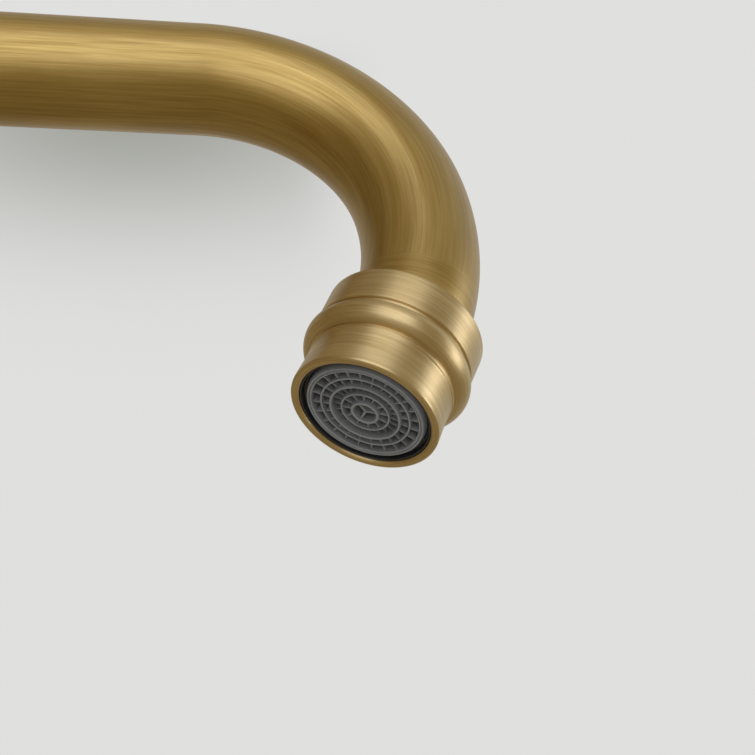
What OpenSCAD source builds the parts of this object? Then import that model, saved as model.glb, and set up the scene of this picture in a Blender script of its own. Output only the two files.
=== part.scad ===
// Deck-mounted two-handle basin mixer with a swivelling swan-neck spout and a banded nozzle.
// Origin: centre of the face that seats on the deck. +Z is up and the spout points along -Y.
// The hot valve is on -X and the cold valve on +X. All sizes are in millimetres.
// Screw threads are drawn as plain cylinders.

/* [Spout tube] */
// Outside diameter of the spout tube
tube_d = 22; // [18:0.5:28]
// Wall of the spout tube
tube_wall = 1.5; // [1:0.1:2]
// Length of the straight riser above the spout foot
riser_len = 12; // [8:1:60]
// Centreline radius of the bend above the riser
back_bend_r = 40; // [30:1:60]
// Slope of the straight run above the horizontal, in degrees
run_rise = 25; // [5:1:40]
// Length of the straight run
run_len = 70; // [40:1:120]
// Centreline radius of the first part of the front bend
front_bend_r = 40; // [30:1:60]
// Angle of the first part of the front bend, in degrees
front_bend_deg = 80; // [50:1:90]
// Centreline radius of the last part of the front bend
tail_bend_r = 51; // [30:1:80]
// Swivel of the spout to each side, in degrees
swivel_deg = 30; // [10:5:60]

/* [Nozzle and aerator] */
// Height of the nozzle collar
nozzle_h = 21.2; // [18:0.1:28]
// Height of the plain band at the top of the collar
band_h = 7; // [5:0.5:10]
// Wall of the plain band around the tube
band_wall = 3.6; // [2.5:0.1:5]
// Height of the half-round bead
bead_h = 5; // [3:0.5:7]
// Height of the bead's crown above its foot
bead_out = 1.9; // [1:0.1:2.4]
// Nominal diameter of the aerator thread
aerator_d = 24; // [20:0.5:29]
// Depth of the aerator's face behind the rim
aerator_recess = 0.5; // [0.3:0.1:2]
// Depth of the aerator's grid
grid_t = 3; // [2:0.5:4]

/* [Swivel joint] */
// Diameter of the bore that the spout foot turns in
spigot_bore_d = 18; // [15:0.5:22]
// Length of the spigot below the foot's flange
spigot_len = 20; // [18:1:30]
// Thickness of the foot's flange
foot_flange_t = 3.9; // [3:0.1:6]
// Thickness of each slip ring
slip_ring_t = 1; // [0.8:0.1:2]

/* [Body] */
// Height of the body's top face above the deck
body_h = 88; // [80:1:120]
// Height of the valve axis above the deck
valve_z = 50; // [44:1:60]
// Distance from the spout axis to the mouth of each valve socket
arm_len = 34; // [32:1:44]
// Outside diameter of the body's barrel
barrel_d = 37; // [32:1:48]
// Outside diameter of the base flange
base_d = 52; // [48:1:70]
// Height of the base flange
base_h = 8; // [6:1:12]
// Diameter of the locating spigot under the body
locator_d = 31; // [30:0.5:34]
// Depth of the locating spigot below the deck's face
locator_h = 4; // [2:1:10]

/* [Water inlets and fixing] */
// Wall diameter of each hose inlet, tapped M10 x 1
inlet_d = 9; // [7:0.5:10]
// Depth of each hose inlet
inlet_depth = 12; // [8:1:20]
// Distance between the two inlets
inlet_pitch = 14; // [13:0.5:16]
// Distance of the inlets in front of the spout axis
inlet_front = 3.5; // [2:0.5:5]
// Diameter of the water channels in the body
channel_d = 6; // [4:0.5:6.5]
// Diameter of the fixing stud
stud_d = 8; // [6:1:10]
// Length of the fixing stud
stud_len = 88; // [70:1:120]
// Distance of the stud behind the spout axis
stud_back = 9.5; // [9:0.5:10.5]
// Thickness of the deck between the base and the clamp
deck_t = 30; // [5:1:45]
// Diameter of the clamp plate
clamp_d = 54; // [48:1:70]
// Thickness of the clamp plate
clamp_plate_t = 2.5; // [2:0.5:4]
// Thickness of the clamp's rubber pad
clamp_pad_t = 3; // [2:0.5:5]

/* [Valves] */
// Diameter of the valve socket, for a half-inch headwork
socket_d = 20.9; // [18:0.1:26]
// Depth of the valve socket
socket_depth = 22; // [20:0.5:24]
// Thickness of each ceramic disc
disc_t = 3; // [2:0.5:3.5]
// Thickness of the seat seal
seal_t = 1.5; // [1:0.1:2]
// Diameter of the spindle
spindle_d = 8; // [6:0.5:10]
// Length of the spindle outside the valve socket
spindle_out = 23.8; // [22:0.1:30]
// Thickness of the headwork's hexagon
hex_t = 4; // [3:0.5:6]

/* [Handles] */
// Distance from the handle's axis to the middle of each ball
arm_reach = 27; // [22:0.5:36]
// Diameter of each ball
ball_d = 9.6; // [8:0.2:12]
// Diameter of each arm at its ball
arm_tip_d = 6; // [5:0.2:7]
// Length of the handle's hub
hub_len = 16; // [15:0.5:20]
// Diameter of the handle's hub
hub_d = 22; // [20:0.5:28]
// Diameter of the porcelain button
button_d = 12.8; // [10:0.2:14]

/* [Hidden] */
$fn = 96;
cut = 1;              // how far a cutter runs past the face that it opens
snug = 0.05;          // radial clearance of running fits and of threads
air = 0.3;            // clearance between a moving piece and a fixed one
glide = 0.1;          // axial clearance of the swivel's flange
edge = 0.4;           // small turned chamfer
groove = 0.25;        // depth of the fine turned grooves

tube_r = tube_d / 2;
tube_bore_r = tube_r - tube_wall;
spigot_bore_r = spigot_bore_d / 2;
spigot_r = spigot_bore_r - snug;

// swivel joint, from the body's top face upwards
pin_r = 1.2;
pin_off = spigot_bore_r + 2.2;
pin_len = 8.5;
pin_z = body_h - 5;
foot_flange_r = max(tube_r + 1.5, pin_off + pin_r);
foot_z = body_h + slip_ring_t + glide;
tube_z = foot_z + foot_flange_t;
top_slip_z = tube_z + glide;
nut_bore_r = foot_flange_r + 1.55;
neck_r = nut_bore_r - snug;
neck_h = 14;
slip_ring_r = nut_bore_r - 0.15;
nut_lip_z = top_slip_z + slip_ring_t;
nut_lip_t = 5.2;
nut_top = nut_lip_z + nut_lip_t;
nut_band_r = nut_bore_r + 2.5;
nut_gap = 0.5;
nut_z = body_h - neck_h + nut_gap;
slot_in_r = pin_off - pin_r - air;
slot_half = swivel_deg + asin(pin_r / pin_off) + 0.5;
o_ring_r = 0.9;
o_ring_z = [4, 11];   // heights of the spout's O-rings above the end of its spigot

// path of the spout tube
tube_sides = 32;
back_bend_deg = 90 - run_rise;
tail_bend_deg = 180 - back_bend_deg - front_bend_deg;
neck_in_tube = 8;

// nozzle collar, measured down from its top face
socket_in_nozzle = band_h;
thread_r = aerator_d / 2 - snug;
rim_r = thread_r + 1.55;
band_r = tube_r + snug + band_wall;
bead_foot_r = max(band_r - 1.15, rim_r);
bead_mid = band_h + groove + bead_h / 2;
bead_end = bead_mid + bead_h / 2;
chamber_z = band_h + 2;
gasket_t = 1.5;
housing_z = chamber_z + gasket_t;
face_z = nozzle_h - aerator_recess;
housing_h = face_z - housing_z;
housing_wall = 0.95;
grid_r = thread_r - snug - housing_wall;
grid_z = face_z - grid_t;
screen_t = 0.5;
screen_gap = 0.7;
jet_plate_t = 1.6;
jet_plate_z = housing_z + 1.4;
screen_z = jet_plate_z + jet_plate_t + 0.4;

// the grid's rings as shares of its radius, with the number of ribs inside each one
grid_rings = [0.22, 0.40, 0.575, 0.745, 0.93];
grid_ribs = [3, 12, 24, 24, 24];
grid_turn = [12, 15, 0, 0, 0];    // how far each set of ribs is turned, in degrees
grid_wall = 0.45;

// valve stack, measured outwards along the valve's axis from the spout axis
seat_s = arm_len - socket_depth;
seal_s = seat_s;
fixed_s = seal_s + seal_t;
moving_s = fixed_s + disc_t + 0.02;
flange_s = moving_s + disc_t + snug;
flange_t = 3;
shoulder_s = flange_s + flange_t;
shoulder_len = 7.3;
spindle_end = arm_len + spindle_out;
socket_r = socket_d / 2;
disc_r = socket_r - 2.4;
spindle_r = spindle_d / 2;
shoulder_r = spindle_r + 2;
bonnet_neck_r = spindle_r + 3.5;
bonnet_end = arm_len + hex_t + 8;
clip_r = spindle_r + 2;
clip_t = 0.8;
clip_s = bonnet_end + air;
port_in_r = 2.6;
port_out_r = disc_r - 2.2;
port_deg = 70;
dog_w = 3;
dog_h = 1.5;
dog_r = disc_r - 2;
stem_ring_r = 0.7;
stem_ring_s = [1.8, 4.6];

// valve shroud and handle
arm_thread_r = socket_r + 3.55;
arm_thread_len = 4;
arm_r = arm_thread_r - 0.5;
arm_flange_r = arm_thread_r + 1.5;
hex_r = arm_thread_r - 0.2;
shroud_s = arm_len - arm_thread_len + 0.1;
shroud_end = clip_s + clip_t + 1.6;
shroud_wall = 1.1;
shroud_tip_r = clip_r + 6.5;
glide_t = 1.1;
hub_s = shroud_end + glide_t + air;
hub_r = hub_d / 2;
hub_end = hub_s + hub_len;
arm_s = hub_s + hub_len / 2;
web_s = max(spindle_end + 0.2, hub_s + 8);
web_t = 2;
screw_r = 2.1;
screw_len = 12;
screw_head_r = 4.4;
screw_head_t = 2.8;
button_r = button_d / 2;
cap_r = button_r + 0.65;
cap_flange_r = cap_r + 1.6;
cap_len = 2.6;
cap_flange_t = 1.6;
button_dome = 1.4;

barrel_r = barrel_d / 2;
locator_r = locator_d / 2;
core_r = locator_r - 0.6;    // the body inside the base flange, a step in from the locator's wall
base_r = base_d / 2;
stud_r = stud_d / 2;
stud_depth = 12;
nut_af = stud_d * 1.625;
nut_t = 12;
clamp_slot_r = inlet_pitch / 2 + 7;    // half the width of the clamp's slot
clamp_slot_back = stud_back - stud_r - 2.5;
slot_corner_r = 3;
gasket_in_r = base_r - 6;
gasket_out_r = base_r - 2.5;
chamber_r = spigot_bore_r - 2;
chamber_low = valve_z + 12;

// ---- helpers ----

// A flat ring that stands on z = 0.
module flat_ring(outer_r, inner_r, h) {
    difference() {
        cylinder(h = h, r = outer_r);
        translate([0, 0, -cut]) cylinder(h = h + 2 * cut, r = inner_r);
    }
}

// A ring of round section centred on z = 0.
module o_ring(mid_r, section_r) {
    rotate_extrude() translate([mid_r, 0]) circle(r = section_r, $fn = 32);
}

// A half-round bead of the nozzle's style, as a flat section for rotate_extrude.
module bead_section(foot_r, mid_z, h, out) {
    arc_r = (pow(h / 2, 2) + pow(out, 2)) / (2 * out);
    translate([foot_r + out - arc_r, mid_z]) circle(r = arc_r);
}

// Moves its children to the end of a bend that starts at the origin and turns towards -Y.
module after_bend(r, deg) {
    translate([0, -r, 0]) rotate([deg, 0, 0]) translate([0, r, 0]) children();
}

// Stations along the tube's centreline, each [y, z, a]: the tube heads along (-sin a, cos a) there.
function arc_stations(from, r, deg, count) = [
    for (k = [1 : count]) let (a = from[2] + deg * k / count)
        [from[0] + r * (cos(a) - cos(from[2])), from[1] + r * (sin(a) - sin(from[2])), a]
];
function run_station(from, len) = [from[0] - len * sin(from[2]), from[1] + len * cos(from[2]), from[2]];
function last(list) = list[len(list) - 1];

// The ring of points round a station.
function station_ring(station, r) = [
    for (n = [0 : tube_sides - 1]) let (t = 360 * n / tube_sides)
        [r * cos(t), station[0] + r * sin(t) * cos(station[2]), station[1] + r * sin(t) * sin(station[2])]
];

// The frame at the outlet: its origin is the middle of the collar's top face, +Z runs with the water.
module at_outlet() {
    translate([0, 0, tube_z + riser_len])
        after_bend(back_bend_r, back_bend_deg)
        translate([0, 0, run_len])
        after_bend(front_bend_r, front_bend_deg)
        after_bend(tail_bend_r, tail_bend_deg)
        children();
}

// The frame of a valve: +Z runs outwards along its axis. side is -1 for hot and 1 for cold.
module at_valve(side) {
    translate([0, 0, valve_z]) mirror([side > 0 ? 1 : 0, 0, 0]) rotate([0, -90, 0]) children();
}

// ---- body and base ----

module body_column() {
    foot_r = locator_r + 3.5;
    waist_r = locator_r + 0.5;
    waist_z = base_h + 5;
    boss_low = valve_z - arm_r - 3;
    boss_high = valve_z + arm_r + 2;
    shoulder_z = body_h - neck_h;
    rotate_extrude() {
        polygon([
            [0, -locator_h], [locator_r, -locator_h], [locator_r, 0], [core_r, 0], [core_r, base_h],
            [foot_r - edge, base_h],
            [foot_r, base_h + edge], [foot_r, base_h + 2.5], [waist_r, waist_z], [waist_r, boss_low - 4],
            [barrel_r, boss_low], [barrel_r, boss_high], [nut_band_r, boss_high + 2],
            [nut_band_r, shoulder_z], [neck_r, shoulder_z], [neck_r, body_h - edge],
            [neck_r - edge, body_h], [0, body_h]
        ]);
        bead_section(foot_r - 0.8, base_h + 2.2, 3.4, 1.2);
    }
}

module body_arm() {
    cylinder(h = arm_len - arm_thread_len, r = arm_r);
    translate([0, 0, arm_len - arm_thread_len - 6]) cylinder(h = 6, r = arm_flange_r);
    cylinder(h = arm_len, r = arm_thread_r);
}

module inlet_channel(side) {
    x = side * inlet_pitch / 2;
    translate([x, -inlet_front, -locator_h - cut]) cylinder(h = inlet_depth + cut, r = inlet_d / 2);
    translate([x, -inlet_front, -locator_h]) cylinder(h = valve_z + locator_h, r = channel_d / 2);
    translate([0, 0, valve_z]) translate([x, -inlet_front, 0]) rotate([0, side * 90, 0])
        cylinder(h = seat_s - inlet_pitch / 2, r = channel_d / 2);
}

// The channel from a valve socket up to the mixing chamber.
module outlet_channel() {
    start = [seat_s + 10, valve_z + 6];
    rise = chamber_low + 8 - start[1];
    run = start[0] - 4;
    translate([start[0], 0, start[1]]) rotate([0, -atan2(run, rise), 0])
        cylinder(h = sqrt(rise * rise + run * run), r = channel_d / 2);
}

module mixer_body() {
    color("#a98a4c") difference() {
        union() {
            body_column();
            at_valve(-1) body_arm();
            at_valve(1) body_arm();
        }
        translate([0, 0, body_h - spigot_len - 0.5]) cylinder(h = spigot_len + 0.5 + cut, r = spigot_bore_r);
        translate([0, 0, chamber_low]) cylinder(h = body_h - chamber_low, r = chamber_r);
        translate([0, pin_off, pin_z - 0.2]) cylinder(h = neck_h, r = pin_r + 0.02);
        translate([0, stud_back, -locator_h - cut]) cylinder(h = stud_depth + cut, r = stud_r + snug);
        for (side = [-1, 1]) {
            inlet_channel(side);
            mirror([side > 0 ? 0 : 1, 0, 0]) outlet_channel();
            at_valve(side) translate([0, 0, seat_s]) cylinder(h = socket_depth + cut, r = socket_r);
        }
    }
}

module base_flange() {
    color("#b39656") difference() {
        rotate_extrude() {
            polygon([
                [core_r + snug, 0], [base_r, 0], [base_r, base_h * 0.36], [base_r - 1.2, base_h * 0.42],
                [base_r - 3.4, base_h * 0.8], [locator_r + 4.5, base_h], [core_r + snug, base_h]
            ]);
            bead_section(base_r - 2.6, base_h * 0.6, base_h * 0.4, 1.1);
        }
        translate([0, 0, -cut]) flat_ring(gasket_out_r, gasket_in_r, gasket_t + cut);
    }
}

module base_gasket() {
    color("#26262a") flat_ring(gasket_out_r - snug, gasket_in_r + snug, gasket_t);
}

module mounting_stud() {
    color("#b9bcc0") translate([0, stud_back, stud_depth - locator_h - stud_len]) {
        cylinder(h = edge, r1 = stud_r - edge, r2 = stud_r);
        translate([0, 0, edge]) cylinder(h = stud_len - edge, r = stud_r);
    }
}

module clamp_outline() {
    difference() {
        circle(d = clamp_d);
        hull() {
            for (side = [-1, 1])
                translate([side * (clamp_slot_r - slot_corner_r), clamp_slot_back - slot_corner_r])
                    circle(r = slot_corner_r);
            translate([-clamp_slot_r, -clamp_d]) square([2 * clamp_slot_r, cut]);
        }
        translate([0, stud_back]) circle(r = stud_r + air);
    }
}

module clamp_pad() {
    color("#2b2b2e") translate([0, 0, -deck_t - clamp_pad_t]) linear_extrude(clamp_pad_t) clamp_outline();
}

module clamp_plate() {
    color("#b9bcc0") translate([0, 0, -deck_t - clamp_pad_t - clamp_plate_t])
        linear_extrude(clamp_plate_t) clamp_outline();
}

module stud_nut() {
    color("#b08d4a") translate([0, stud_back, -deck_t - clamp_pad_t - clamp_plate_t - nut_t]) difference() {
        cylinder(h = nut_t, d = nut_af / cos(30), $fn = 6);
        translate([0, 0, -cut]) cylinder(h = nut_t + 2 * cut, r = stud_r + snug);
    }
}

// ---- swivel joint ----

module swivel_stop_pin() {
    color("#b9bcc0") translate([0, pin_off, pin_z]) cylinder(h = pin_len, r = pin_r);
}

module slip_rings() {
    color("#e8e6df") {
        translate([0, 0, body_h]) difference() {
            flat_ring(slip_ring_r, spigot_bore_r + air, slip_ring_t);
            translate([0, pin_off, -cut]) cylinder(h = slip_ring_t + 2 * cut, r = pin_r + 0.1);
        }
        translate([0, 0, top_slip_z]) flat_ring(slip_ring_r, tube_r + air, slip_ring_t);
    }
}

module union_nut() {
    mid_z = (nut_z + nut_top) / 2;
    lip_r = tube_r + air;
    color("#c9ab6c") difference() {
        rotate_extrude() {
            polygon([
                [0, nut_z], [nut_band_r - edge, nut_z], [nut_band_r, nut_z + edge],
                [nut_band_r, mid_z - 2.6], [nut_band_r - groove, mid_z - 2.5],
                [nut_band_r - 1.2, mid_z + 2.5], [nut_band_r - 0.9, mid_z + 2.9],
                [nut_band_r - 1.6, nut_top - 0.8], [nut_band_r - 2.4, nut_top], [0, nut_top]
            ]);
            bead_section(nut_band_r - 1.1, mid_z, bead_h, bead_out);
        }
        translate([0, 0, nut_z - cut]) cylinder(h = nut_lip_z - nut_z + cut, r = nut_bore_r);
        translate([0, 0, nut_z]) cylinder(h = nut_top - nut_z + cut, r = lip_r);
    }
}

// ---- spout ----

module spout_tube() {
    start = [0, tube_z, 0];
    riser_end = run_station(start, riser_len);
    back = arc_stations(riser_end, back_bend_r, back_bend_deg, 9);
    run_end = run_station(last(back), run_len);
    front = arc_stations(run_end, front_bend_r, front_bend_deg, 12);
    tail = arc_stations(last(front), tail_bend_r, tail_bend_deg, 6);
    tube_end = run_station(last(tail), socket_in_nozzle);
    stations = concat([start, riser_end], back, [run_end], front, tail, [tube_end]);
    rings = len(stations);
    outer = [for (st = stations) each station_ring(st, tube_r)];
    bore = [for (st = stations) each station_ring(st, tube_bore_r)];
    inside = rings * tube_sides;
    end = inside - tube_sides;
    skin = [for (i = [0 : rings - 2], n = [0 : tube_sides - 1])
        let (m = (n + 1) % tube_sides, a = i * tube_sides)
            [a + n, a + tube_sides + n, a + tube_sides + m, a + m]];
    ends = [for (n = [0 : tube_sides - 1])
        let (m = (n + 1) % tube_sides)
            each [[n, m, inside + m, inside + n], [end + m, end + n, inside + end + n, inside + end + m]]];
    bore_skin = [for (f = skin) [for (k = [3 : -1 : 0]) inside + f[k]]];
    color("#8f7137")
        polyhedron(points = concat(outer, bore), faces = concat(skin, bore_skin, ends), convexity = 6);
}

module spout_foot() {
    floor_r = spigot_r - 2 * o_ring_r;
    groove_h = 2 * o_ring_r + 0.2;
    spigot_z = body_h - spigot_len;
    color("#b08d4a") difference() {
        union() {
            translate([0, 0, spigot_z]) cylinder(h = foot_z - spigot_z, r = spigot_r);
            translate([0, 0, foot_z]) cylinder(h = foot_flange_t, r = foot_flange_r);
            translate([0, 0, tube_z]) cylinder(h = neck_in_tube, r = tube_bore_r - snug);
        }
        translate([0, 0, spigot_z - cut])
            cylinder(h = neck_in_tube + tube_z - spigot_z + 2 * cut, r = floor_r - 1.6);
        for (h = o_ring_z)
            translate([0, 0, spigot_z + h - groove_h / 2]) flat_ring(spigot_r + cut, floor_r, groove_h);
        translate([0, 0, foot_z - cut]) rotate([0, 0, 90 - slot_half]) rotate_extrude(angle = 2 * slot_half)
            translate([slot_in_r, 0]) square([foot_flange_r, foot_flange_t + cut - edge]);
    }
}

module spout_o_rings() {
    color("#26262a") for (h = o_ring_z)
        translate([0, 0, body_h - spigot_len + h]) o_ring(spigot_r - o_ring_r, o_ring_r);
}

module spout_nozzle() {
    color("#cfb27a") at_outlet() difference() {
        rotate_extrude() {
            polygon([
                [0, 0], [band_r - edge, 0], [band_r, edge],
                [band_r, band_h - groove], [band_r - groove, band_h],
                [bead_foot_r, bead_mid], [rim_r - groove, bead_end], [rim_r - groove, bead_end + 0.4],
                [rim_r - 0.05, bead_end + 0.6], [rim_r - 0.05, bead_end + 1.1],
                [rim_r - 0.2, bead_end + 1.3],
                [rim_r, nozzle_h - 2 * edge], [rim_r - edge, nozzle_h], [0, nozzle_h]
            ]);
            bead_section(bead_foot_r, bead_mid, bead_h, bead_out);
        }
        translate([0, 0, -cut]) cylinder(h = socket_in_nozzle + cut, r = tube_r + snug);
        translate([0, 0, -cut]) cylinder(h = nozzle_h, r = tube_bore_r);
        translate([0, 0, chamber_z]) cylinder(h = nozzle_h, r = thread_r);
    }
}

module aerator_gasket() {
    color("#26262a") at_outlet() translate([0, 0, chamber_z])
        flat_ring(thread_r - 2 * snug, tube_bore_r, gasket_t);
}

module aerator_housing() {
    color("#1d1d1f") at_outlet() translate([0, 0, housing_z]) difference() {
        cylinder(h = housing_h, r = thread_r - snug);
        translate([0, 0, -cut]) cylinder(h = housing_h + 2 * cut, r = grid_r - 1.4);
        translate([0, 0, 1.2]) cylinder(h = housing_h, r = grid_r + snug);
    }
}

module aerator_jet_plate() {
    color("#d7d8da") at_outlet() translate([0, 0, jet_plate_z]) difference() {
        cylinder(h = jet_plate_t, r = grid_r - snug);
        for (a = [0 : 30 : 330])
            rotate([0, 0, a])
                translate([grid_r * 0.62, 0, -cut])
                    cylinder(h = jet_plate_t + 2 * cut, r = 0.9, $fn = 24);
    }
}

module aerator_screens() {
    color("#9aa0a4") at_outlet() for (k = [0, 1])
        translate([0, 0, screen_z + k * screen_gap]) difference() {
            cylinder(h = screen_t, r = grid_r - snug);
            for (x = [-6 : 3 : 6], y = [-6 : 3 : 6])
                translate([x - 0.9, y - 0.9, -cut]) cube([1.8, 1.8, screen_t + 2 * cut]);
        }
}

module aerator_grid() {
    inner = [for (share = concat([0], grid_rings)) share * grid_r];
    color("#6d7073") at_outlet() translate([0, 0, grid_z]) linear_extrude(grid_t) {
        difference() {
            circle(r = grid_r);
            circle(r = inner[5]);
        }
        for (k = [1 : 4]) difference() {
            circle(r = inner[k] + grid_wall / 2);
            circle(r = inner[k] - grid_wall / 2);
        }
        for (k = [0 : 4], n = [0 : grid_ribs[k] - 1]) {
            start_r = k == 0 ? 0 : inner[k];
            rotate(360 * n / grid_ribs[k] + grid_turn[k])
                translate([start_r, -grid_wall / 2]) square([inner[k + 1] - start_r, grid_wall]);
        }
    }
}

// ---- valves ----

module seat_seal(side) {
    color("#2b2b2e") at_valve(side)
        translate([0, 0, seal_s]) flat_ring(disc_r + 1, port_out_r + 0.4, seal_t);
}

module disc_ports(h) {
    for (a = [0, 180])
        rotate([0, 0, a - port_deg / 2]) translate([0, 0, -cut]) rotate_extrude(angle = port_deg)
            translate([port_in_r, 0]) square([port_out_r - port_in_r, h + 2 * cut]);
}

module fixed_disc(side) {
    color("#f1efe8") at_valve(side) translate([0, 0, fixed_s]) difference() {
        cylinder(h = disc_t, r = disc_r);
        disc_ports(disc_t);
    }
}

// The moving disc is drawn closed, a quarter turn from the fixed disc's ports.
module moving_disc(side) {
    color("#dfe3e6") at_valve(side) translate([0, 0, moving_s]) difference() {
        cylinder(h = disc_t, r = disc_r - 0.15);
        rotate([0, 0, 90]) disc_ports(disc_t);
        for (a = [0, 180])
            rotate([0, 0, a]) translate([dog_r - 0.1, -dog_w / 2 - 0.1, disc_t - dog_h - 0.1])
                cube([disc_r, dog_w + 0.2, dog_h + 0.1 + cut]);
    }
}

module bonnet(side) {
    guide_r = socket_r - 1.2;
    thread_s = shoulder_s + 3.2;
    color("#b08d4a") at_valve(side) difference() {
        union() {
            translate([0, 0, fixed_s]) cylinder(h = arm_len - fixed_s, r = guide_r);
            translate([0, 0, thread_s]) cylinder(h = arm_len - thread_s, r = socket_r - snug);
            translate([0, 0, arm_len + 1]) cylinder(h = hex_t - 1, r = hex_r, $fn = 6);
            translate([0, 0, arm_len]) cylinder(h = bonnet_end - arm_len, r = bonnet_neck_r);
        }
        translate([0, 0, fixed_s - cut]) cylinder(h = shoulder_s - fixed_s + air + cut, r = disc_r + snug);
        translate([0, 0, shoulder_s]) cylinder(h = shoulder_len + air, r = shoulder_r + snug);
        translate([0, 0, shoulder_s]) cylinder(h = bonnet_end - shoulder_s + cut, r = spindle_r + snug);
        for (a = [45 : 90 : 315])
            rotate([0, 0, a])
                translate([0, -2.5, moving_s + 0.5]) cube([guide_r + cut, 5, disc_t + flange_t - 1]);
    }
}

// The washer between the bonnet's hexagon and the mouth of the socket.
module bonnet_seal(side) {
    color("#2b2b2e") at_valve(side)
        translate([0, 0, arm_len]) flat_ring(socket_r + 1.5, bonnet_neck_r + 0.2, 1);
}

module spindle(side) {
    floor_r = shoulder_r - 2 * stem_ring_r;
    groove_h = 2 * stem_ring_r + 0.2;
    spline_len = 9;
    color("#c0a05e") at_valve(side) difference() {
        union() {
            translate([0, 0, flange_s]) cylinder(h = flange_t, r = disc_r - 0.2);
            translate([0, 0, shoulder_s]) cylinder(h = shoulder_len, r = shoulder_r);
            translate([0, 0, shoulder_s]) cylinder(h = spindle_end - spline_len - shoulder_s, r = spindle_r);
            translate([0, 0, spindle_end - spline_len]) linear_extrude(spline_len) for (a = [0 : 18 : 72])
                rotate(a) square((spindle_r - 0.1) * sqrt(2), center = true);
            for (a = [0, 180])
                rotate([0, 0, a]) translate([dog_r, -dog_w / 2, flange_s - dog_h])
                    cube([disc_r - 0.4 - dog_r, dog_w, dog_h + cut]);
        }
        for (s = stem_ring_s)
            translate([0, 0, shoulder_s + s - groove_h / 2]) flat_ring(shoulder_r + cut, floor_r, groove_h);
        translate([0, 0, clip_s - snug]) flat_ring(spindle_r + cut, spindle_r - 0.6, clip_t + 2 * snug);
        translate([0, 0, spindle_end - screw_len + 1]) cylinder(h = screw_len, r = screw_r);
    }
}

module spindle_o_rings(side) {
    color("#26262a") at_valve(side) for (s = stem_ring_s)
        translate([0, 0, shoulder_s + s]) o_ring(shoulder_r - stem_ring_r, stem_ring_r);
}

// An open spring ring in the spindle's groove.
module spindle_clip(side) {
    color("#8b8f93") at_valve(side) translate([0, 0, clip_s]) difference() {
        flat_ring(clip_r, spindle_r - 0.55, clip_t);
        translate([0, -spindle_r * 0.6, -cut]) cube([clip_r + cut, spindle_r * 1.2, clip_t + 2 * cut]);
    }
}

module shroud(side) {
    bead_s = shroud_s + 9.5;
    color("#c9ab6c") at_valve(side) difference() {
        rotate_extrude() {
            polygon([
                [0, shroud_s], [arm_flange_r - edge, shroud_s], [arm_flange_r, shroud_s + edge],
                [arm_flange_r, bead_s - 2.5], [arm_flange_r - groove, bead_s - 2.4],
                [arm_flange_r - 1, bead_s + 2.5], [arm_flange_r - 1.6, bead_s + 2.9],
                [shroud_tip_r + 0.6, shroud_end - 1], [shroud_tip_r, shroud_end], [0, shroud_end]
            ]);
            bead_section(arm_flange_r - 1.1, bead_s, bead_h, bead_out);
        }
        translate([0, 0, shroud_s - cut])
            cylinder(h = arm_len + hex_t + 1 - shroud_s + cut, r = arm_thread_r + snug);
        translate([0, 0, arm_len + hex_t + 1])
            cylinder(
                h = shroud_end - shroud_wall - arm_len - hex_t - 1,
                r1 = arm_thread_r,
                r2 = shroud_tip_r - 1.6
            );
        translate([0, 0, shroud_s]) cylinder(h = shroud_end - shroud_s + cut, r = clip_r + 0.5);
    }
}

module glide_ring(side) {
    color("#e8e6df") at_valve(side)
        translate([0, 0, shroud_end]) flat_ring(shroud_tip_r - 1.5, clip_r + 1, glide_t);
}

// ---- handles ----

// One arm along +Z with its two turned rings and its ball, in a single turned section.
module handle_arm() {
    root = hub_r - 3;
    foot_r = arm_tip_d / 2 + 1.2;
    tip_r = arm_tip_d / 2;
    rotate_extrude() intersection() {
        translate([0, root]) square([ball_d, arm_reach]);
        union() {
            polygon([[0, root], [foot_r, root], [tip_r, arm_reach], [0, arm_reach]]);
            translate([foot_r - 0.4, hub_r + 1.4]) circle(r = 1.2);
            translate([tip_r - 0.1, arm_reach - ball_d / 2 - 0.2]) circle(r = 0.8);
            translate([0, arm_reach]) circle(d = ball_d);
        }
    }
}

module handle(side) {
    base_s = hub_s + 2.4;
    color("#b39656") at_valve(side) difference() {
        union() {
            rotate_extrude() {
                polygon([
                    [0, hub_s], [hub_r - 0.6, hub_s], [hub_r, hub_s + edge],
                    [hub_r, base_s - edge], [hub_r - 1, base_s],
                    [hub_r - 2.4, base_s + 1], [hub_r - 1.2, arm_s - 3], [hub_r - 0.6, arm_s],
                    [hub_r - 1.2, arm_s + 4], [cap_flange_r + 0.4, hub_end - edge],
                    [cap_flange_r, hub_end], [0, hub_end]
                ]);
            }
            for (a = [0 : 90 : 270])
                rotate([0, 0, a]) translate([0, 0, arm_s]) rotate([0, 90, 0]) handle_arm();
        }
        translate([0, 0, hub_s - cut]) cylinder(h = web_s - hub_s + cut, r = spindle_r + snug);
        translate([0, 0, web_s - cut]) cylinder(h = web_t + 2 * cut, r = screw_r + air);
        translate([0, 0, web_s + web_t]) cylinder(h = hub_end - web_s - web_t + cut, r = cap_r + snug);
    }
}

module handle_screw(side) {
    color("#b9bcc0") at_valve(side) translate([0, 0, web_s + web_t]) difference() {
        union() {
            translate([0, 0, -screw_len + 2]) cylinder(h = screw_len - 2, r = screw_r - snug);
            cylinder(h = screw_head_t, r = screw_head_r);
        }
        translate([0, 0, 1]) cylinder(h = screw_head_t, r = 1.9, $fn = 6);
    }
}

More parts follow.
